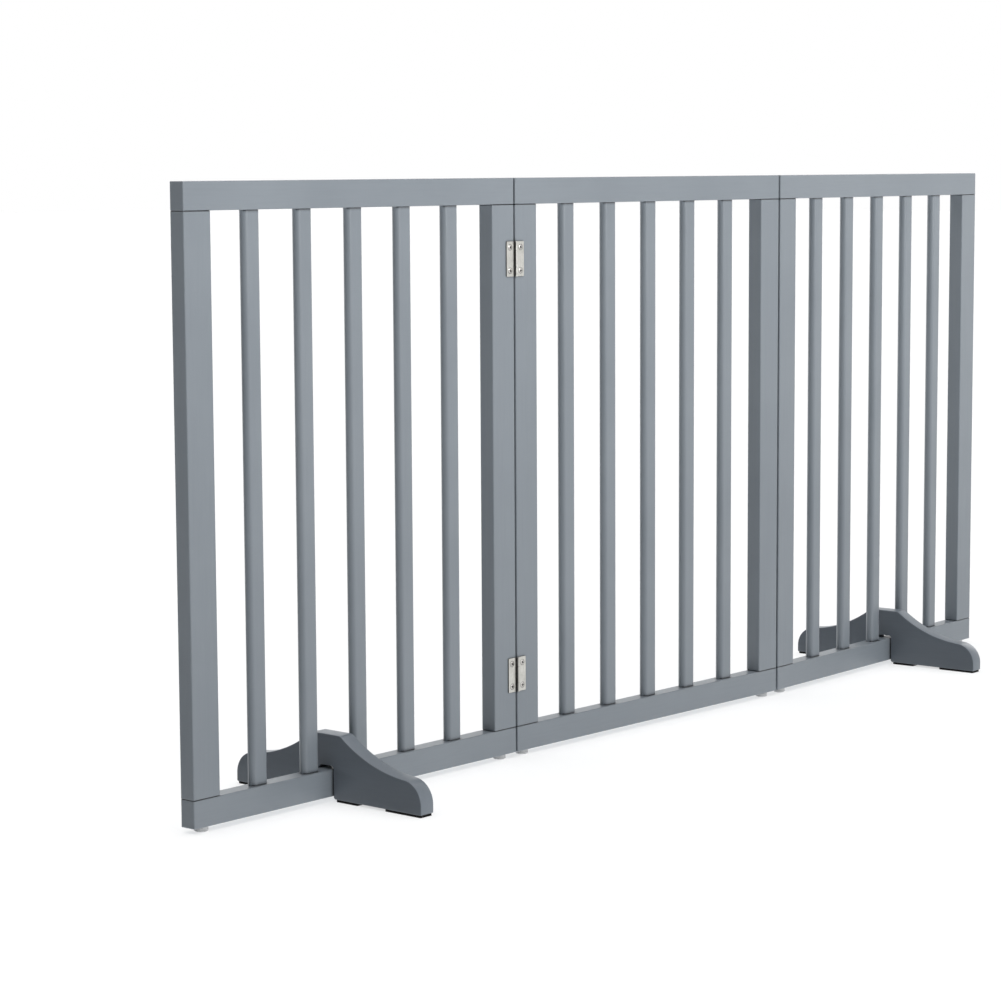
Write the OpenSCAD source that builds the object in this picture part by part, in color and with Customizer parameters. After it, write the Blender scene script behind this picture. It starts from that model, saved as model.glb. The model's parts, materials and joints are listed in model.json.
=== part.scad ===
// Free-standing folding pet gate.
// Three slatted panels are joined by pin hinges, so that they fold like a Z,
// and two saddle feet straddle the bottom rails of the outer panels.
// +X runs along the gate, -Y is its front and +Z is up. The origin is on the
// floor under the middle of the gate. All dimensions are in millimetres.
// The gate stands almost straight: its outer panels are a little folded.

/* [Overall size] */
// Width of the gate with its three panels in line
gate_w = 1390; // [1200:2:1600]
// Height of the gate above the floor
gate_h = 605; // [450:5:900]
// Thickness of the rails, the stiles and the feet
board_t = 18; // [15:0.5:25]
// Gap between neighbouring panels
panel_gap = 2; // [1:0.5:4]
// Radius on the edges of the rails and the stiles
edge_r = 1.2; // [0.5:0.1:3]

/* [Fold at rest] */
// Angle of the left panel toward the front, in degrees
left_fold = 0.6; // [0:0.1:15]
// Angle of the right panel toward the back, in degrees
right_fold = 3.4; // [0:0.1:15]

/* [Panel frame] */
// Height of the top and bottom rails
rail_h = 27; // [22:1:45]
// Width of the stiles
stile_w = 34; // [28:1:50]

/* [Balusters] */
// Width of a baluster along the panel
baluster_w = 21; // [14:0.5:28]
// Depth of a baluster across the panel
baluster_d = 10; // [10:0.5:16]
// Radius on the upright edges of a baluster
baluster_r = 4.9; // [1:0.1:4.9]
// Distance between the centres of neighbouring balusters
baluster_pitch = 69.8; // [50:0.2:80]

/* [Dowels] */
// Diameter of the dowels that join stiles to rails
frame_dowel_d = 6; // [5:0.5:8]
// Depth of a frame dowel in the end of a stile
frame_dowel_in_stile = 20; // [15:1:30]
// Depth of a frame dowel in a rail
frame_dowel_in_rail = 13; // [8:1:16]
// Distance between the two dowels of one stile end
frame_dowel_spacing = 16; // [12:1:24]
// Diameter of the dowels that join balusters to rails
bar_dowel_d = 5; // [4:0.5:6]
// Depth of a baluster dowel in the baluster
bar_dowel_in_bar = 14; // [10:1:20]
// Depth of a baluster dowel in a rail
bar_dowel_in_rail = 11; // [8:1:14]

/* [Glides] */
// Diameter of a glide
glide_d = 13.5; // [10:0.5:20]
// Height of a glide under the bottom rail
glide_h = 5; // [3:0.5:10]
// Diameter of the stem that holds a glide in the rail
glide_stem_d = 4.5; // [3:0.5:6]
// Length of that stem
glide_stem_l = 9; // [6:1:10]

/* [Hinges] */
// Height of a hinge
hinge_h = 36; // [25:1:60]
// Reach of a leaf from the pin axis
leaf_w = 13.5; // [11:0.5:17]
// Thickness of a leaf
leaf_t = 1; // [0.8:0.1:1.5]
// Outer radius of the knuckles
knuckle_r = 1.8; // [1.6:0.1:2.5]
// Length of the middle knuckle
middle_knuckle_l = 17; // [12:1:24]
// Gap between neighbouring knuckles
knuckle_gap = 0.3; // [0.1:0.05:0.6]
// Diameter of the pin
pin_d = 1.9; // [1.5:0.1:2.4]
// Radial clearance of the pin in the turning knuckle
pin_clearance = 0.05; // [0.02:0.01:0.1]
// Distance of a hinge's centre from the top or bottom of the panel
hinge_from_end = 83; // [50:1:150]

/* [Hinge screws] */
// Distance of the screws from the pin axis
screw_from_pin = 8.2; // [7:0.1:10]
// Distance of the screws from the top or bottom of the leaf
screw_from_leaf_end = 6; // [4:0.5:10]
// Diameter of the raised countersunk head
screw_head_d = 5.6; // [4:0.1:7]
// Rise of the head above the leaf
screw_head_rise = 0.5; // [0.3:0.1:0.8]
// Width of the groove round the head
screw_head_groove = 0.4; // [0.1:0.05:0.5]
// Length of the arms of the cross recess
recess_l = 3.4; // [2.4:0.1:4]
// Width of the arms of the cross recess
recess_w = 1; // [0.5:0.1:1.2]
// Diameter of the shank
screw_d = 2.6; // [2:0.1:3.5]
// Length of the shank in the wood
screw_l = 12; // [8:1:14]

/* [Feet] */
// Length of a foot from nose to nose
foot_l = 251; // [200:1:320]
// Height of the hump above the floor
foot_h = 66.5; // [55:0.5:100]
// Half of the flat on top of the hump
hump_flat = 16; // [10:0.5:25]
// Radius where the flat turns into the slope
hump_r = 10; // [5:1:20]
// Steepest angle of the slope, in degrees
slope_steep = 36; // [25:0.5:45]
// Angle of the slope where it meets the nose, in degrees
slope_end = 4.5; // [2:0.5:15]
// Radius of the nose
nose_r = 23.5; // [15:0.5:30]
// Width of the slot that straddles the bottom rail
slot_w = 19.6; // [18.5:0.1:24]
// Height of the top of the slot above the floor
slot_top = 35.2; // [33:0.1:45]
// Radius in the upper corners of the slot
slot_r = 3; // [1:0.5:5]
// Radius at the mouth of the slot and under the nose
foot_corner_r = 2.5; // [1:0.5:5]
// Shift of a foot from the middle of its gap toward the outer end of the gate
foot_shift = 2; // [0:0.5:12]

/* [Foot pads] */
// Thickness of the rubber pads
pad_t = 2.3; // [2:0.1:5]
// Inset of the pads from the faces of the foot
pad_inset = 0.8; // [0:0.1:3]
// Distance of the inner pad from the middle of the foot
inner_pad_from = 12.6; // [11:0.1:20]
// Length of the inner pad
inner_pad_l = 28.6; // [15:0.2:40]
// Length of the outer pad
outer_pad_l = 46.8; // [25:0.2:60]

/* [Fits] */
// Radial gap round a glued or pressed part
glue_gap = 0.03; // [0.01:0.01:0.1]

/* [Hidden] */
$fn = 64;
panel_w = (gate_w - 2 * panel_gap) / 3;
wood_bottom = glide_h;
rail_top_z = gate_h - rail_h;
rail_low_z = wood_bottom + rail_h;
bar_l = rail_top_z - rail_low_z;
front = -board_t / 2;
joint_x = panel_w / 2 + panel_gap / 2;
axis_y = board_t / 2 + knuckle_r;
hinge_low_z = wood_bottom + hinge_from_end;
hinge_high_z = gate_h - hinge_from_end;
// Left edge of each panel
panel_x = [for (p = [0:2]) -gate_w / 2 + p * (panel_w + panel_gap)];
// Centres of the balusters and of the stiles within a panel
bar_x = [for (i = [-2:2]) panel_w / 2 + i * baluster_pitch];
stile_cx = [stile_w / 2, panel_w - stile_w / 2];
// Each foot stands between two balusters of an outer panel
foot_x = [panel_x[0] + (bar_x[1] + bar_x[2]) / 2 - foot_shift,
          panel_x[2] + (bar_x[2] + bar_x[3]) / 2 + foot_shift];
// Shift along Y that keeps the box of the gate centred on the origin. The box
// reaches from the front of the left foot to the rear of the right foot.
foot_lever = foot_x[1] - joint_x + board_t / 2;
gate_y = (sin(left_fold) - sin(right_fold)) * foot_lever / 2
    + (cos(left_fold) - cos(right_fold)) * (foot_l / 2 - axis_y) / 2;
// The slope of a foot is one arc between the hump and the nose
hump_end = [hump_flat + hump_r * sin(slope_steep), foot_h - hump_r * (1 - cos(slope_steep))];
nose_start_y = foot_l / 2 - nose_r * (1 - sin(slope_end));
slope_r = (nose_start_y - hump_end[0]) / (sin(slope_steep) - sin(slope_end));
slope_c = [hump_end[0] + slope_r * sin(slope_steep), hump_end[1] + slope_r * cos(slope_steep)];
nose_c = [foot_l / 2 - nose_r, slope_c[1] - (slope_r + nose_r) * cos(slope_end)];

PAINT = [0.52, 0.55, 0.58];
BEECH = [0.82, 0.68, 0.48];
NICKEL = [0.80, 0.78, 0.74];
STEEL = [0.74, 0.74, 0.73];
GLIDE = [0.80, 0.84, 0.84];
RUBBER = [0.07, 0.07, 0.08];

// ---- Shared shapes ----

// A rectangle with round corners, centred on the origin
module round_rect(a, b, r) {
    square([a - 2 * r, b], center = true);
    square([a, b - 2 * r], center = true);
    for (x = [-1, 1], y = [-1, 1])
        translate([x * (a / 2 - r), y * (b / 2 - r)]) circle(r);
}

// A board of width w along X and height h along Z, eased on all its edges
module eased_board(w, h) {
    intersection() {
        rotate([90, 0, 90])
            linear_extrude(w + 2, center = true) round_rect(board_t, h, edge_r);
        linear_extrude(h + 2, center = true) round_rect(w, board_t, edge_r);
        rotate([90, 0, 0])
            linear_extrude(board_t + 2, center = true) round_rect(w, h, edge_r);
    }
}

// Holes for the dowels in one rail, opening upward from z = 0
module rail_dowel_holes() {
    for (cx = stile_cx, s = [-1, 1])
        translate([cx + s * frame_dowel_spacing / 2, 0, -frame_dowel_in_rail - 0.5])
            cylinder(d = frame_dowel_d + 2 * glue_gap, h = frame_dowel_in_rail + 1.5);
    for (cx = bar_x)
        translate([cx, 0, -bar_dowel_in_rail - 0.5])
            cylinder(d = bar_dowel_d + 2 * glue_gap, h = bar_dowel_in_rail + 1.5);
}

// ---- Panel frame ----

module top_rail(p) {
    color(PAINT) translate([panel_x[p], 0, 0]) difference() {
        translate([panel_w / 2, 0, gate_h - rail_h / 2]) eased_board(panel_w, rail_h);
        translate([0, 0, rail_top_z]) mirror([0, 0, 1]) rail_dowel_holes();
    }
}

module bottom_rail(p) {
    color(PAINT) translate([panel_x[p], 0, 0]) difference() {
        translate([panel_w / 2, 0, wood_bottom + rail_h / 2]) eased_board(panel_w, rail_h);
        translate([0, 0, rail_low_z]) rail_dowel_holes();
        for (cx = stile_cx)
            translate([cx, 0, wood_bottom - 1])
                cylinder(d = glide_stem_d + 2 * glue_gap, h = glide_stem_l + 1.5);
    }
}

// A stile; hinge_side is -1 with pilot holes in the front face, 1 with pilot
// holes in the back face and 0 without, at pilot_x from the panel's left edge
module stile(p, side, hinge_side = 0) {
    pilot_x = side == 0 ? screw_from_pin - panel_gap / 2
        : panel_w + panel_gap / 2 - screw_from_pin;
    color(PAINT) translate([panel_x[p], 0, 0]) difference() {
        translate([stile_cx[side], 0, (rail_low_z + rail_top_z) / 2]) eased_board(stile_w, bar_l);
        for (s = [-1, 1], z = [rail_low_z - 1, rail_top_z - frame_dowel_in_stile - 0.5])
            translate([stile_cx[side] + s * frame_dowel_spacing / 2, 0, z])
                cylinder(d = frame_dowel_d + 2 * glue_gap, h = frame_dowel_in_stile + 1.5);
        if (hinge_side != 0)
            for (z = [hinge_low_z, hinge_high_z], s = [-1, 1])
                translate([pilot_x, hinge_side * (board_t / 2 + 1),
                           z + s * (hinge_h / 2 - screw_from_leaf_end)])
                    rotate([hinge_side * 90, 0, 0])
                        cylinder(d = screw_d + 2 * glue_gap, h = screw_l + 1.5);
    }
}

// One baluster; i counts from 0 at the left
module baluster(p, i) {
    color(PAINT) translate([panel_x[p] + bar_x[i], 0, rail_low_z]) difference() {
        linear_extrude(bar_l) round_rect(baluster_w, baluster_d, baluster_r);
        for (z = [-1, bar_l - bar_dowel_in_bar - 0.5])
            translate([0, 0, z])
                cylinder(d = bar_dowel_d + 2 * glue_gap, h = bar_dowel_in_bar + 1.5);
    }
}

// A dowel with chamfered ends, from z = a to z = b
module dowel(d, a, b) {
    c = 0.6;
    translate([0, 0, a]) cylinder(d1 = d - 2 * c, d2 = d, h = c);
    translate([0, 0, a + c]) cylinder(d = d, h = b - a - 2 * c);
    translate([0, 0, b - c]) cylinder(d1 = d, d2 = d - 2 * c, h = c);
}

module dowels(p) {
    color(BEECH) translate([panel_x[p], 0, 0]) {
        for (cx = stile_cx, s = [-1, 1])
            translate([cx + s * frame_dowel_spacing / 2, 0, 0]) {
                dowel(frame_dowel_d, rail_low_z - frame_dowel_in_rail,
                      rail_low_z + frame_dowel_in_stile);
                dowel(frame_dowel_d, rail_top_z - frame_dowel_in_stile,
                      rail_top_z + frame_dowel_in_rail);
            }
        for (cx = bar_x)
            translate([cx, 0, 0]) {
                dowel(bar_dowel_d, rail_low_z - bar_dowel_in_rail,
                      rail_low_z + bar_dowel_in_bar);
                dowel(bar_dowel_d, rail_top_z - bar_dowel_in_bar,
                      rail_top_z + bar_dowel_in_rail);
            }
    }
}

// Two round glides with stems, under the stiles of a panel
module glides(p) {
    rim = 0.8;
    color(GLIDE) translate([panel_x[p], 0, 0])
        for (cx = stile_cx)
            translate([cx, 0, 0]) {
                cylinder(d1 = glide_d - 2 * rim, d2 = glide_d, h = rim);
                translate([0, 0, rim]) cylinder(d = glide_d, h = glide_h - rim);
                translate([0, 0, glide_h]) cylinder(d = glide_stem_d, h = glide_stem_l - 1);
                translate([0, 0, glide_h + glide_stem_l - 1])
                    cylinder(d1 = glide_stem_d, d2 = glide_stem_d - 1.6, h = 1);
            }
}

// ---- Hinges ----
// A hinge is drawn about its pin, with the wood toward +Y and the leaf of the
// turning outer panel toward -X. The second joint of the gate is the same
// hinge turned by half a turn.

module at_hinge(joint, z) {
    x = joint == 0 ? -joint_x : joint_x;
    y = joint == 0 ? -axis_y : axis_y;
    translate([x, y, z]) rotate([0, 0, joint == 0 ? 0 : 180]) children();
}

// The plate of a leaf toward -X, with its countersunk screw holes
module leaf_plate() {
    notch = knuckle_r + 0.4;
    difference() {
        translate([-(leaf_w + notch) / 2, knuckle_r, 0]) rotate([90, 0, 0])
            linear_extrude(leaf_t) round_rect(leaf_w - notch, hinge_h, 0.8);
        leaf_screw_holes();
    }
}

module leaf_screw_holes() {
    for (s = [-1, 1])
        translate([-screw_from_pin, knuckle_r, s * (hinge_h / 2 - screw_from_leaf_end)])
            rotate([90, 0, 0]) {
                translate([0, 0, -1]) cylinder(d = screw_d + 0.6, h = leaf_t + 2);
                translate([0, 0, leaf_t - 0.95])
                    cylinder(d1 = screw_d + 0.6, d2 = screw_head_d + 0.16, h = 0.96);
                translate([0, 0, leaf_t - 0.3])
                    cylinder(d = screw_head_d + 2 * screw_head_groove, h = 1);
            }
}

// A knuckle between z = a and z = b, with the tongue that rolls into it
module knuckle(a, b) {
    translate([0, 0, a]) cylinder(r = knuckle_r, h = b - a);
    translate([-knuckle_r - 1.2, knuckle_r - leaf_t, a]) cube([knuckle_r + 1.2, leaf_t, b - a]);
}

// Leaf on the outer panel: one knuckle in the middle, free to turn on the pin
module outer_leaf(joint, z) {
    half = (middle_knuckle_l - knuckle_gap) / 2;
    color(NICKEL) at_hinge(joint, z) difference() {
        union() {
            leaf_plate();
            knuckle(-half, half);
        }
        cylinder(r = pin_d / 2 + pin_clearance, h = hinge_h, center = true);
    }
}

// Leaf on the middle panel: a knuckle at each end, holding the pin
module inner_leaf(joint, z) {
    half = (middle_knuckle_l + knuckle_gap) / 2;
    color(NICKEL) at_hinge(joint, z) mirror([1, 0, 0]) difference() {
        union() {
            leaf_plate();
            knuckle(half, hinge_h / 2);
            knuckle(-hinge_h / 2, -half);
        }
        cylinder(r = pin_d / 2 + 0.01, h = hinge_h + 1, center = true);
    }
}

// Pin with lightly chamfered ends
module hinge_pin(joint, z) {
    c = 0.25;
    color(STEEL) at_hinge(joint, z) {
        cylinder(d = pin_d, h = hinge_h, center = true);
        for (s = [0, 1])
            mirror([0, 0, s]) translate([0, 0, hinge_h / 2])
                cylinder(d1 = pin_d, d2 = pin_d - 2 * c, h = c);
    }
}

// A raised countersunk cross-recess screw along +Z, its head below z = 0
module wood_screw() {
    cap_r = (pow(screw_head_d / 2, 2) + pow(screw_head_rise, 2)) / (2 * screw_head_rise);
    tip = 3;
    difference() {
        union() {
            intersection() {
                translate([0, 0, cap_r - screw_head_rise]) sphere(cap_r);
                translate([0, 0, -2]) cylinder(d = screw_head_d, h = 2);
            }
            cylinder(d1 = screw_head_d, d2 = screw_d, h = 0.95);
            cylinder(d = screw_d, h = leaf_t + screw_l - tip);
            translate([0, 0, leaf_t + screw_l - tip]) cylinder(d1 = screw_d, d2 = 0.3, h = tip);
        }
        for (a = [0, 90])
            rotate([0, 0, a]) translate([-recess_l / 2, -recess_w / 2, -2])
                cube([recess_l, recess_w, 2.2]);
        translate([0, 0, -2]) cylinder(d1 = 2.2, d2 = 1.2, h = 3);
    }
}

// The screws of one row of leaves; side is -1 toward the outer panel
module hinge_screws(joint, side) {
    color(STEEL)
        for (z = [hinge_low_z, hinge_high_z], s = [-1, 1])
            at_hinge(joint, z)
                translate([side * screw_from_pin, knuckle_r - leaf_t,
                           s * (hinge_h / 2 - screw_from_leaf_end)])
                    rotate([-90, 0, 0]) rotate([0, 0, s > 0 ? 38 : 14]) wood_screw();
}

// ---- Feet ----

// Right half of the side view of a foot, y along X and z along Y
module foot_half() {
    intersection() {
        translate([0, pad_t]) square([foot_l / 2, foot_h]);
        union() {
            square([hump_end[0], foot_h - hump_r]);
            square([hump_flat, foot_h]);
            translate([hump_flat, foot_h - hump_r]) circle(hump_r);
            difference() {
                translate([hump_flat, 0])
                    square([nose_start_y - hump_flat, hump_end[1]]);
                translate(slope_c) circle(slope_r, $fn = 360);
            }
            translate(nose_c) circle(nose_r, $fn = 128);
            square([foot_l / 2, nose_c[1]]);
        }
    }
}

// A square corner less a quarter round, for easing a corner toward +X and +Y
module corner_cut(r) {
    difference() {
        translate([-1, -1]) square(r + 1);
        translate([r, r]) circle(r);
    }
}

// Side view of a whole foot, with its slot
module foot_outline() {
    for (m = [0, 1])
        mirror([m, 0]) difference() {
            foot_half();
            translate([-1, 0]) square([1 + slot_w / 2, slot_top - slot_r]);
            translate([-1, 0]) square([1 + slot_w / 2 - slot_r, slot_top]);
            translate([slot_w / 2 - slot_r, slot_top - slot_r]) circle(slot_r);
            translate([slot_w / 2, pad_t]) corner_cut(foot_corner_r);
            translate([foot_l / 2, pad_t]) mirror([1, 0]) corner_cut(foot_corner_r - 1);
        }
}

module foot_board(x) {
    color(PAINT) translate([x, 0, 0]) rotate([90, 0, 90])
        linear_extrude(board_t, center = true) foot_outline();
}

// A pair of pads, front and back, from distance a over length l
module pad_pair(x, a, l) {
    color(RUBBER) translate([x, 0, 0])
        for (s = [-1, 1])
            translate([0, s * (a + l / 2), 0])
                linear_extrude(pad_t) round_rect(board_t - 2 * pad_inset, l, 1.5);
}

module inner_pads(x) {
    pad_pair(x, inner_pad_from, inner_pad_l);
}

module outer_pads(x) {
    pad_pair(x, foot_l / 2 - 1.2 - outer_pad_l, outer_pad_l);
}

// ---- Places ----
// Every node is drawn in a straight gate whose middle panel is on the origin,
// and then takes its place in the gate as it stands.

module middle() {
    translate([0, gate_y, 0]) children();
}

module left() {
    translate([-joint_x, gate_y - axis_y, 0]) rotate([0, 0, left_fold])
        translate([joint_x, axis_y, 0]) children();
}

module right() {
    translate([joint_x, gate_y + axis_y, 0]) rotate([0, 0, right_fold])
        translate([-joint_x, -axis_y, 0]) children();
}

// ---- Nodes ----

left() top_rail(0);  // left_top_rail
left() bottom_rail(0);  // left_bottom_rail
left() stile(0, 0);  // left_outer_stile
left() stile(0, 1, -1);  // left_hinge_stile
left() baluster(0, 0);  // left_baluster_1
left() baluster(0, 1);  // left_baluster_2
left() baluster(0, 2);  // left_baluster_3
left() baluster(0, 3);  // left_baluster_4
left() baluster(0, 4);  // left_baluster_5
left() dowels(0);  // left_dowels
left() glides(0);  // left_glides
middle() top_rail(1);  // middle_top_rail
middle() bottom_rail(1);  // middle_bottom_rail
middle() stile(1, 0, -1);  // middle_left_stile
middle() stile(1, 1, 1);  // middle_right_stile
middle() baluster(1, 0);  // middle_baluster_1
middle() baluster(1, 1);  // middle_baluster_2
middle() baluster(1, 2);  // middle_baluster_3
middle() baluster(1, 3);  // middle_baluster_4
middle() baluster(1, 4);  // middle_baluster_5
middle() dowels(1);  // middle_dowels
middle() glides(1);  // middle_glides
right() top_rail(2);  // right_top_rail
right() bottom_rail(2);  // right_bottom_rail
right() stile(2, 0, 1);  // right_hinge_stile
right() stile(2, 1);  // right_outer_stile
right() baluster(2, 0);  // right_baluster_1
right() baluster(2, 1);  // right_baluster_2
right() baluster(2, 2);  // right_baluster_3
right() baluster(2, 3);  // right_baluster_4
right() baluster(2, 4);  // right_baluster_5
right() dowels(2);  // right_dowels
right() glides(2);  // right_glides
left() outer_leaf(0, hinge_high_z);  // left_upper_hinge_outer_leaf
middle() inner_leaf(0, hinge_high_z);  // left_upper_hinge_inner_leaf
middle() hinge_pin(0, hinge_high_z);  // left_upper_hinge_pin
left() outer_leaf(0, hinge_low_z);  // left_lower_hinge_outer_leaf
middle() inner_leaf(0, hinge_low_z);  // left_lower_hinge_inner_leaf
middle() hinge_pin(0, hinge_low_z);  // left_lower_hinge_pin
right() outer_leaf(1, hinge_high_z);  // right_upper_hinge_outer_leaf
middle() inner_leaf(1, hinge_high_z);  // right_upper_hinge_inner_leaf
middle() hinge_pin(1, hinge_high_z);  // right_upper_hinge_pin
right() outer_leaf(1, hinge_low_z);  // right_lower_hinge_outer_leaf
middle() inner_leaf(1, hinge_low_z);  // right_lower_hinge_inner_leaf
middle() hinge_pin(1, hinge_low_z);  // right_lower_hinge_pin
left() hinge_screws(0, -1);  // left_outer_leaf_screws
middle() hinge_screws(0, 1);  // left_inner_leaf_screws
middle() hinge_screws(1, 1);  // right_inner_leaf_screws
right() hinge_screws(1, -1);  // right_outer_leaf_screws
left() foot_board(foot_x[0]);  // left_foot_board
left() inner_pads(foot_x[0]);  // left_foot_inner_pads
left() outer_pads(foot_x[0]);  // left_foot_outer_pads
right() foot_board(foot_x[1]);  // right_foot_board
right() inner_pads(foot_x[1]);  // right_foot_inner_pads
right() outer_pads(foot_x[1]);  // right_foot_outer_pads
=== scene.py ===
import json
import math

import bmesh
import bpy
from mathutils import Matrix, Vector


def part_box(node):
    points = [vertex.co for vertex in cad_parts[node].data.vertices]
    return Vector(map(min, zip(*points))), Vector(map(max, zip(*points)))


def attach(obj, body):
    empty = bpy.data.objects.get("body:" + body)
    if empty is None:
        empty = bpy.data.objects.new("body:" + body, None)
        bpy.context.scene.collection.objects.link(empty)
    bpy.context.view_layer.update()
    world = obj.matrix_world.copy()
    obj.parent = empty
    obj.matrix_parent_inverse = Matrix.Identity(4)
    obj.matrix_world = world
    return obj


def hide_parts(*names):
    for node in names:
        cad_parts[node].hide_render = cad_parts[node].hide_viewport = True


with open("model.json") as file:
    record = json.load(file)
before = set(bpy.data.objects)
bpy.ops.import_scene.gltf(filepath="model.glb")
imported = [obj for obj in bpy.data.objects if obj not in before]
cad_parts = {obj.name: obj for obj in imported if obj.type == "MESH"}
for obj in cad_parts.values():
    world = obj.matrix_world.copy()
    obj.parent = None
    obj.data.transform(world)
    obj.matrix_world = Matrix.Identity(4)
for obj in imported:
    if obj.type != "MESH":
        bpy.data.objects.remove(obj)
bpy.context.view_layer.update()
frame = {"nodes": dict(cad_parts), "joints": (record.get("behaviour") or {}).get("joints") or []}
nodes = frame["nodes"]
fold_range = {j["name"]: j.get("range_deg") for j in frame["joints"]}

MM = 0.001
BOARD_T = 18.0          # mm, thickness of a foot board
FOOT_LENGTH = 251.0     # mm
EDGE_EASE = 0.9         # mm, how far a foot's edges are eased
CREASE_ANGLE = 32       # degrees, above which a foot's edge is drawn sharp

CAMERA_AT = (-2.4727, -1.9660, 0.6168)      # metres
CAMERA_TURN = (48.658, -6.633, -0.308)      # degrees: yaw from +Y toward +X, pitch, roll
CAMERA_LENS = 103.356                       # mm on a sensor 36 mm wide

WHITE = (1.0, 1.0, 1.0)
BLACK = (0.0, 0.0, 0.0)
PAINT_DEEP, PAINT_PALE = (0.222, 0.251, 0.281), (0.243, 0.273, 0.304)
PAINT_GRAIN = (0.192, 0.216, 0.241)         # in the pores of the wood
PAINT_SPECK = (0.300, 0.326, 0.352)         # fine light spots
CREASE_AND_JOINT_SHADE = (0.035, 0.037, 0.042)               # painted shade in grooves and corners, and dark joint hairlines


# ---- Camera: the viewing angle of the photograph, with no lens shift ----

def make_camera():
    yaw, pitch, roll = (math.radians(a) for a in CAMERA_TURN)
    ahead = Vector((math.sin(yaw) * math.cos(pitch), math.cos(yaw) * math.cos(pitch),
                    math.sin(pitch)))
    right = Vector((math.cos(yaw), -math.sin(yaw), 0.0))
    up = right.cross(ahead)
    right, up = (right * math.cos(roll) + up * math.sin(roll),
                 up * math.cos(roll) - right * math.sin(roll))
    data = bpy.data.cameras.new("camera")
    data.sensor_width = 36.0
    data.lens = CAMERA_LENS
    data.clip_start, data.clip_end = 0.05, 60.0
    cam = bpy.data.objects.new("camera", data)
    bpy.context.scene.collection.objects.link(cam)
    turn = Matrix((right, up, -ahead)).transposed().to_4x4()
    cam.matrix_world = Matrix.Translation(CAMERA_AT) @ turn
    bpy.context.scene.camera = cam


# ---- Materials ----

def lengthwise(axis, factor):
    """Noise scales that draw the pattern out along one axis, 0, 1 or 2."""
    scales = [1.0, 1.0, 1.0]
    scales[axis] = factor
    return tuple(scales)


def scaled(colour, factor):
    return tuple(c * factor for c in colour)


class Nodes:
    """Shorthand for building one material's node tree."""

    def __init__(self, name):
        self.mat = bpy.data.materials.new(name)
        self.mat.use_nodes = True
        self.tree = self.mat.node_tree
        self.bsdf = next(n for n in self.tree.nodes if n.type == "BSDF_PRINCIPLED")
        self.where = self.add("ShaderNodeTexCoord").outputs["Object"]

    def add(self, kind, **settings):
        node = self.tree.nodes.new(kind)
        for key, value in settings.items():
            setattr(node, key, value)
        return node

    def link(self, a, b):
        self.tree.links.new(a, b)

    def noise(self, scale, detail=3.0, rough=0.5, stretch=None):
        where = self.where
        if stretch:
            mapping = self.add("ShaderNodeMapping")
            mapping.inputs["Scale"].default_value = stretch
            self.link(where, mapping.inputs["Vector"])
            where = mapping.outputs["Vector"]
        node = self.add("ShaderNodeTexNoise")
        node.inputs["Scale"].default_value = scale
        node.inputs["Detail"].default_value = detail
        node.inputs["Roughness"].default_value = rough
        self.link(where, node.inputs["Vector"])
        return node.outputs["Fac"]

    def remap(self, value, a, b, low=0.3, high=0.7):
        """Turn low..high into a..b, and hold a and b beyond."""
        node = self.add("ShaderNodeMapRange")
        node.inputs["From Min"].default_value = low
        node.inputs["From Max"].default_value = high
        node.inputs["To Min"].default_value = a
        node.inputs["To Max"].default_value = b
        self.link(value, node.inputs["Value"])
        return node.outputs["Result"]

    def times(self, a, b):
        node = self.add("ShaderNodeMath", operation="MULTIPLY")
        self.link(a, node.inputs[0])
        self.link(b, node.inputs[1])
        return node.outputs["Value"]

    def mix(self, fac, a, b):
        """Blend two colours, each a tuple or another node's output."""
        node = self.add("ShaderNodeMix", data_type="RGBA")
        self.link(fac, node.inputs["Factor"])
        for socket, colour in ((node.inputs[6], a), (node.inputs[7], b)):
            if isinstance(colour, tuple):
                socket.default_value = (*colour, 1.0)
            else:
                self.link(colour, socket)
        return node.outputs[2]

    def bump(self, height, distance, strength=1.0, under=None):
        node = self.add("ShaderNodeBump")
        node.inputs["Distance"].default_value = distance
        node.inputs["Strength"].default_value = strength
        self.link(height, node.inputs["Height"])
        if under:
            self.link(under, node.inputs["Normal"])
        return node.outputs["Normal"]

    def place(self, axis):
        """Where the surface lies along one axis of the part, in metres at rest."""
        split = self.add("ShaderNodeSeparateXYZ")
        self.link(self.where, split.inputs["Vector"])
        return split.outputs[axis]

    def facing(self, axis):
        """How squarely the surface faces one axis of the part, either way: 0 to 1."""
        split = self.add("ShaderNodeSeparateXYZ")
        self.link(self.add("ShaderNodeTexCoord").outputs["Normal"], split.inputs["Vector"])
        size = self.add("ShaderNodeMath", operation="ABSOLUTE")
        self.link(split.outputs[axis], size.inputs[0])
        return size.outputs["Value"]

    def crease(self, reach):
        """How open the surface is within reach: 1 on a flat, less in corners and grooves."""
        node = self.add("ShaderNodeAmbientOcclusion", samples=4)
        node.inputs["Distance"].default_value = reach
        return node.outputs["AO"]

    def finish(self, colour, roughness, normal=None, **fixed):
        self.link(colour, self.bsdf.inputs["Base Color"])
        self.link(roughness, self.bsdf.inputs["Roughness"])
        if normal:
            self.link(normal, self.bsdf.inputs["Normal"])
        for key, value in fixed.items():
            self.bsdf.inputs[key.replace("_", " ")].default_value = value
        return self.mat


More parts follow.
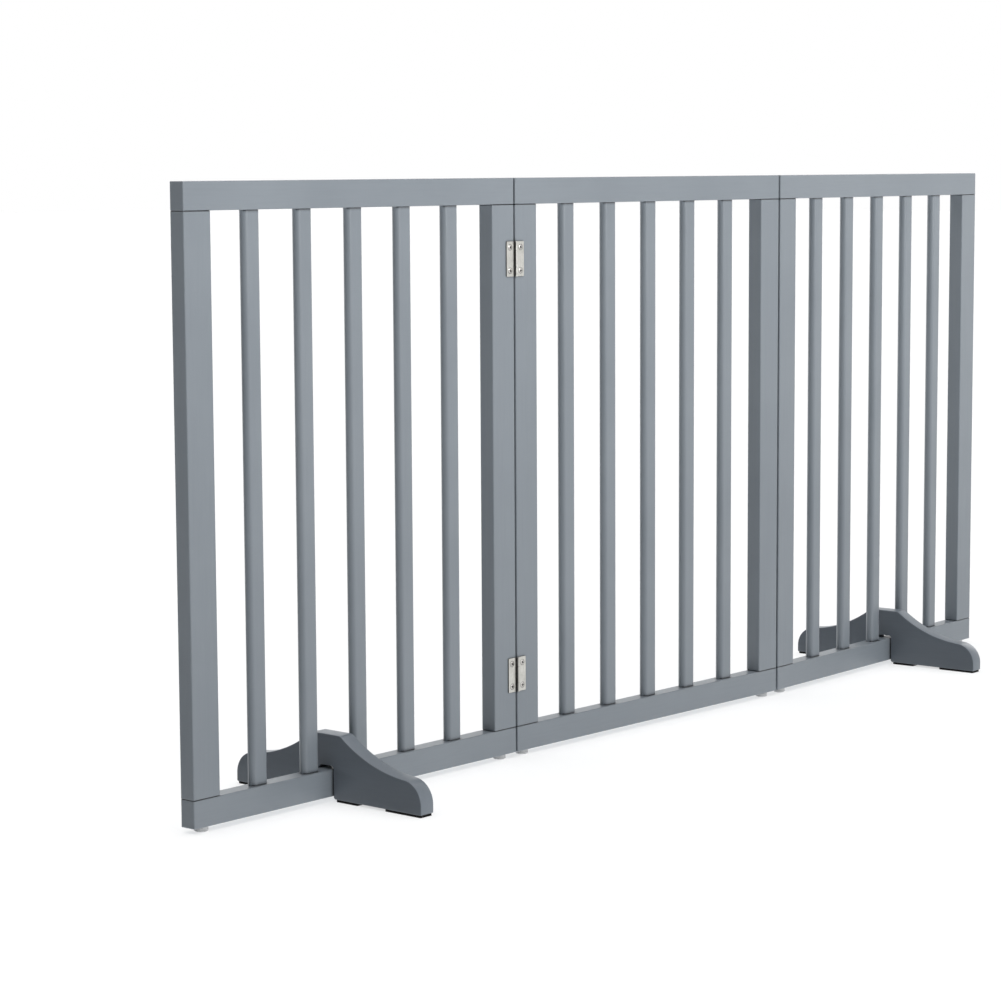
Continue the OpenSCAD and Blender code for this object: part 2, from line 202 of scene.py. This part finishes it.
def paint(name, along, tint=WHITE, side_shade=None, joints=None):
    """Satin grey paint over planed wood; along is the board's long axis, 0, 1 or 2.

    side_shade is how much darker the faces toward +X and -X are painted than the edges: painted
    shade. joints are the heights of an upright's lower and upper end, where its paint stops at a
    dark hairline that is partly painted contact shade.
    """

    def tinted(colour):
        return tuple(c * t for c, t in zip(colour, tint))

    m = Nodes(name)
    grain = m.noise(420.0, 4.0, 0.6, lengthwise(along, 0.045))
    cloud = m.noise(7.0, 3.0, 0.5)
    peel = m.noise(1500.0, 2.0, 0.5)
    speck = m.noise(260.0, 5.0, 0.7)
    tone = m.mix(m.remap(cloud, 0.0, 1.0, 0.35, 0.65),
                 tinted(PAINT_DEEP), tinted(PAINT_PALE))
    tone = m.mix(m.remap(grain, 0.0, 0.22, 0.45, 0.75), tone, tinted(PAINT_GRAIN))
    tone = m.mix(m.remap(speck, 0.0, 0.25, 0.62, 0.80), tone, tinted(PAINT_SPECK))
    sideways = m.facing("X")
    # Painted shade: the faces toward +X and -X are darkened against the edges
    if side_shade:
        tone = m.mix(m.remap(sideways, 0.0, side_shade, 0.80, 0.97), tone, BLACK)
    # Painted shade: an occlusion node darkens grooves and corners, and the upright joints get a
    # dark hairline that is partly painted contact shade; neither reaches the end faces in the
    # panel gaps
    shade_and_joint_masks = [m.remap(m.crease(3.5 * MM), 0.0, 0.96, 0.90, 0.52)]
    if joints:
        height, (low, high) = m.place("Z"), joints
        inner, outer = 0.5 * MM, 1.1 * MM
        shade_and_joint_masks += [m.remap(height, 0.85, 0.0, low + inner, low + outer),
                  m.remap(height, 0.0, 0.85, high - outer, high - inner)]
    not_ends = m.remap(sideways, 1.0, 0.0, 0.80, 0.97)
    for mask in shade_and_joint_masks:
        tone = m.mix(m.times(mask, not_ends), tone, tinted(CREASE_AND_JOINT_SHADE))
    rough = m.remap(speck, 0.28, 0.38, 0.3, 0.7)
    normal = m.bump(grain, 0.00010, 0.35)
    normal = m.bump(peel, 0.00004, 0.35, normal)
    return m.finish(tone, rough, normal, Specular_IOR_Level=0.45)


def beech():
    m = Nodes("beech")
    grain = m.noise(600.0, 5.0, 0.65, lengthwise(2, 0.03))
    ring = m.noise(120.0, 2.0, 0.5, lengthwise(2, 0.08))
    tone = m.mix(m.remap(ring, 0.0, 1.0), (0.62, 0.42, 0.24), (0.70, 0.50, 0.31))
    tone = m.mix(m.remap(grain, 0.0, 0.6, 0.5, 0.75), tone, (0.40, 0.24, 0.12))
    return m.finish(tone, m.remap(grain, 0.55, 0.72), m.bump(grain, 0.00008, 0.6))


def nickel(name, base, low, high, along):
    """Plated steel with a fine brushed lay along one axis; low and high bound its roughness."""
    m = Nodes(name)
    lay = m.noise(2600.0, 3.0, 0.6, lengthwise(along, 0.03))
    stain = m.noise(90.0, 4.0, 0.6)
    pit = m.noise(1400.0, 2.0, 0.5)
    tone = m.mix(m.remap(stain, 0.0, 1.0, 0.35, 0.65), base, scaled(base, 0.86))
    tone = m.mix(m.remap(pit, 0.0, 0.35, 0.66, 0.8), tone, scaled(base, 0.6))
    # Painted shade: recesses, grooves and crevices darken to near black, from an occlusion node
    tone = m.mix(m.remap(m.crease(1.5 * MM), 0.0, 0.98, 0.95, 0.62), tone, (0.01, 0.01, 0.01))
    rough = m.remap(lay, low, high, 0.3, 0.7)
    return m.finish(tone, rough, m.bump(lay, 0.00002, 0.35), Metallic=1.0)


def rubber():
    m = Nodes("pad_rubber_look")
    grit = m.noise(1900.0, 4.0, 0.7)
    dust = m.noise(60.0, 4.0, 0.6)
    tone = m.mix(m.remap(dust, 0.0, 1.0, 0.4, 0.8), (0.002, 0.002, 0.002), (0.008, 0.008, 0.009))
    return m.finish(tone, m.remap(grit, 0.68, 0.88), m.bump(grit, 0.00012, 0.8),
                    Specular_IOR_Level=0.2)


def milky_plastic():
    m = Nodes("glide_plastic_look")
    cloud = m.noise(140.0, 3.0, 0.5)
    scuff = m.noise(900.0, 5.0, 0.7)
    tone = m.mix(m.remap(cloud, 0.0, 1.0), (0.46, 0.47, 0.48), (0.54, 0.55, 0.56))
    tone = m.mix(m.remap(scuff, 0.0, 0.3, 0.62, 0.8), tone, (0.38, 0.39, 0.40))
    return m.finish(tone, m.remap(scuff, 0.30, 0.46), m.bump(scuff, 0.00005, 0.4),
                    Subsurface_Weight=0.25, Subsurface_Scale=0.003,
                    Subsurface_Radius=(0.5, 0.5, 0.5))


def wear(ending, material):
    """Give a material to every CAD node whose name ends so."""
    for name, obj in nodes.items():
        if name.rstrip("12345").endswith(ending):
            for slot in obj.material_slots:
                slot.material = material


# ---- Feet: eased boards in place of the square-edged CAD ones ----

def arc(cy, cz, r, a0, a1, n):
    """Points of an arc from angle a0 to a1, in degrees, counted from +Y towards +Z."""
    return [(cy + r * math.cos(math.radians(a0 + (a1 - a0) * i / n)),
             cz + r * math.sin(math.radians(a0 + (a1 - a0) * i / n))) for i in range(n + 1)]


def foot_outline(half, base, top):
    """Half outline of a foot for y >= 0 in mm, from the top of the slot to the top of the hump.

    A flat hump rolls over into a hollow slope, which runs tangent into the round nose. The slope
    leaves the hump steep degrees from level and meets the nose end degrees from level.
    """
    steep, end, hump_r, hump_flat, nose_r = 36.0, 4.5, 10.0, 16.0, 23.5
    slot, slot_top, slot_r, mouth_r, toe_r = 9.8, 35.2, 3.0, 2.5, 1.5
    sin, cos = (lambda a: math.sin(math.radians(a))), (lambda a: math.cos(math.radians(a)))
    hump_y, hump_z = hump_flat + hump_r * sin(steep), top - hump_r * (1 - cos(steep))
    nose_y = half - nose_r * (1 - sin(end))
    slope_r = (nose_y - hump_y) / (sin(steep) - sin(end))
    slope_cy, slope_cz = hump_y + slope_r * sin(steep), hump_z + slope_r * cos(steep)
    nose_cz = slope_cz - (slope_r + nose_r) * cos(end)
    points = [(0.0, slot_top)]
    points += arc(slot - slot_r, slot_top - slot_r, slot_r, 90, 0, 6)
    points += arc(slot + mouth_r, base + mouth_r, mouth_r, 180, 270, 6)
    points += arc(half - toe_r, base + toe_r, toe_r, 270, 360, 5)
    points += arc(half - nose_r, nose_cz, nose_r, 0, 90 - end, 22)
    points += arc(slope_cy, slope_cz, slope_r, 270 - end, 270 - steep, 26)[1:]
    points += arc(hump_flat, top - hump_r, hump_r, 90 - steep, 90, 8)[1:]
    return points


def foot_board(node, body, fold):
    """An eased foot board, turned like its panel; straight is the lower limit of a fold."""
    low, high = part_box(node)
    half = foot_outline(FOOT_LENGTH / 2, low.z / MM, high.z / MM)
    turn = Matrix.Rotation(-math.radians(fold_range[fold][0]), 4, "Z")
    place = Matrix.Translation(((low.x + high.x) / 2, (low.y + high.y) / 2, 0.0)) @ turn
    loop = half + [(-y, z) for y, z in reversed(half[1:])]
    mesh = bpy.data.meshes.new(node + "_eased")
    bm = bmesh.new()
    for side in (-1, 1):
        ring = [bm.verts.new((side * BOARD_T / 2 * MM, y * MM, z * MM)) for y, z in loop]
        bm.faces.new(ring if side == 1 else ring[::-1])
    bm.verts.ensure_lookup_table()
    count = len(loop)
    for i in range(count):
        j = (i + 1) % count
        bm.faces.new((bm.verts[i], bm.verts[j], bm.verts[count + j], bm.verts[count + i]))
    bmesh.ops.recalc_face_normals(bm, faces=bm.faces)
    rims = [e for e in bm.edges if abs(e.verts[0].co.x - e.verts[1].co.x) < 1e-7]
    bmesh.ops.bevel(bm, geom=rims, offset=EDGE_EASE * MM, segments=4, profile=0.5,
                    affect="EDGES", clamp_overlap=True)
    for face in bm.faces:
        face.smooth = True
    for edge in bm.edges:
        edge.smooth = edge.calc_face_angle(0.0) < math.radians(CREASE_ANGLE)
    bmesh.ops.transform(bm, matrix=place, verts=bm.verts)
    bm.to_mesh(mesh)
    bm.free()
    piece = bpy.data.objects.new(node + "_eased", mesh)
    bpy.context.scene.collection.objects.link(piece)
    mesh.materials.append(shaded_foot_paint)
    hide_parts(node)
    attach(piece, body)


# ---- Floor and light ----

def lamp(name, data, where, at):
    obj = bpy.data.objects.new(name, data)
    bpy.context.scene.collection.objects.link(obj)
    obj.location = where
    obj.rotation_euler = (Vector(at) - Vector(where)).to_track_quat("-Z", "Y").to_euler()
    return obj


def softbox(name, where, at, size, power, floor, spread=180):
    """A large soft lamp, in metres and watts, that leaves the floor to the overhead light."""
    data = bpy.data.lights.new(name, "AREA")
    data.shape = "RECTANGLE"
    data.size, data.size_y = size
    data.energy = power
    data.spread = math.radians(spread)
    obj = lamp(name, data, where, at)
    group = bpy.data.collections.new(name + "_skips_floor")
    group.objects.link(floor)
    obj.light_linking.receiver_collection = group
    group.collection_objects[0].light_linking.link_state = "EXCLUDE"


def stage_piece(name, corners, faces, material):
    """A floor or screen, which is no part of the gate."""
    mesh = bpy.data.meshes.new(name)
    mesh.from_pydata(corners, [], faces)
    mesh.materials.append(material)
    obj = bpy.data.objects.new(name, mesh)
    bpy.context.scene.collection.objects.link(obj)
    return obj


def make_floor():
    m = Nodes("pale_floor")
    cloud = m.noise(1.5, 2.0, 0.5)
    pale = m.finish(m.mix(cloud, (0.86, 0.86, 0.86), (0.88, 0.88, 0.88)),
                    m.remap(cloud, 0.85, 0.9), Specular_IOR_Level=0.0)
    floor = stage_piece("floor", [(-30, -30, 0), (30, -30, 0), (30, 30, 0), (-30, 30, 0)],
                        [(0, 1, 2, 3)], pale)
    floor.visible_glossy = False
    return floor


def make_screen():
    """A dark corner on the left, seen only in reflections, gives the metal its contrast."""
    m = Nodes("dark_screen")
    cloud = m.noise(2.0, 2.0, 0.5)
    dark = m.finish(m.mix(cloud, (0.015, 0.015, 0.016), (0.03, 0.03, 0.032)),
                    m.remap(cloud, 0.85, 0.95), Specular_IOR_Level=0.0)
    plan = [(-5, 9), (-5, -6), (-0.8, -6)]
    screen = stage_piece("left_screen", [(x, y, z) for z in (-3, 4) for x, y in plan],
                         [(0, 1, 4, 3), (1, 2, 5, 4)], dark)
    screen.visible_camera = screen.visible_diffuse = screen.visible_shadow = False


def make_world():
    """White all round, in view and in reflections; it lights nothing diffusely."""
    world = bpy.data.worlds.new("studio")
    world.use_nodes = True
    background = world.node_tree.nodes["Background"]
    background.inputs["Color"].default_value = (*WHITE, 1.0)
    background.inputs["Strength"].default_value = 1.0
    bpy.context.scene.world = world
    world.cycles_visibility.diffuse = False


def light_floor(floor):
    """Overhead light for the floor alone, which then lights the gate from below.

    Only a part of it casts shadows, so that they stay soft and pale.
    """
    only = bpy.data.collections.new("floor_alone")
    only.objects.link(floor)
    for name, strength in (("overhead", 0.5), ("overhead_shadowless", 3.3)):
        sun = bpy.data.lights.new(name, "SUN")
        sun.energy = strength
        sun.angle = math.radians(110)
        overhead = lamp(name, sun, (0, 0, 4), (0, 0, 0))
        overhead.light_linking.receiver_collection = only
        if name == "overhead_shadowless":
            overhead.light_linking.blocker_collection = only


def make_stage():
    """Each softbox: place, aim, size, power, the floor it skips, and spread in degrees."""
    floor = make_floor()
    make_screen()
    make_world()
    light_floor(floor)
    softbox("front_softbox", (0.25, -3.0, 1.28), (0.15, 0, 0.88), (4.4, 0.6), 16.8, floor, 60)
    softbox("top_softbox", (0.0, 0.2, 2.8), (0, 0, 0.3), (3.4, 2.0), 45, floor)
    softbox("back_softbox", (0.6, 3.8, 1.6), (0, 0, 0.3), (3.2, 2.0), 50, floor)
    softbox("right_fill", (3.8, 0.4, 1.4), (0, 0, 0.3), (2.0, 2.0), 20, floor)
    view = bpy.context.scene.view_settings
    view.view_transform = "Standard"
    view.look = "None"


make_camera()
paint_rail = paint("grey_paint_rail", 0)
paint_upright = paint("grey_paint_upright", 2,
                      joints=(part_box("left_bottom_rail")[1].z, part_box("left_top_rail")[0].z))
# Painted shade: the feet take a darker copy of the grey paint, and their side faces are darker
# still
shaded_foot_paint = paint("grey_paint_foot", 1, (0.82, 0.84, 0.87), 0.32)
leaf_metal = nickel("nickel_leaf", (0.61, 0.605, 0.57), 0.24, 0.36, 2)
pin_metal = nickel("pin_steel_look", (0.62, 0.61, 0.59), 0.22, 0.34, 2)
screw_metal = nickel("screw_steel_look", (0.60, 0.585, 0.56), 0.26, 0.38, 0)

for ending, material in (
        ("_rail", paint_rail), ("_stile", paint_upright), ("_baluster_", paint_upright),
        ("_foot_board", shaded_foot_paint), ("_dowels", beech()), ("_leaf", leaf_metal),
        ("_hinge_pin", pin_metal), ("_screws", screw_metal), ("_pads", rubber()),
        ("_glides", milky_plastic())):
    wear(ending, material)
for side in ("left", "right"):
    foot_board(side + "_foot_board", side + "_foot", side + "_fold")
make_stage()
